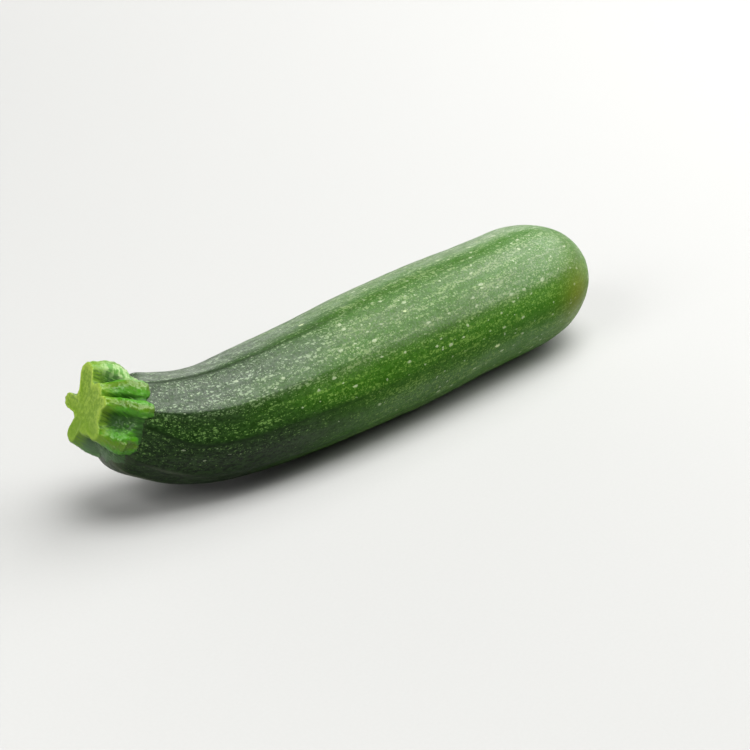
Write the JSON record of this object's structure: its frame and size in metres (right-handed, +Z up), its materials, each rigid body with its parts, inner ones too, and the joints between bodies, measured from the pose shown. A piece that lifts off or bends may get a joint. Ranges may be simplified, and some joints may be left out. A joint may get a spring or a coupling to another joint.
{
  "type": "zucchini",
  "caption": "Whole long green zucchini, slim and ribbed at its cut star-shaped stem, rounder at the blossom end, lying on its side.",
  "frame": {"origin": "under the middle of the zucchini, on the surface it lies on", "axes": "+X from the stem towards the blossom end, +Y across the fruit on the outside of its bend, +Z up"},
  "size_m": [0.2314, 0.0562, 0.0503],
  "materials": {
    "zucchini_skin": "satin",
    "zucchini_stem": "satin"
  },
  "bodies": {
    "root": {"fruit": "zucchini_skin", "stem": "zucchini_stem"}
  },
  "joints": []
}
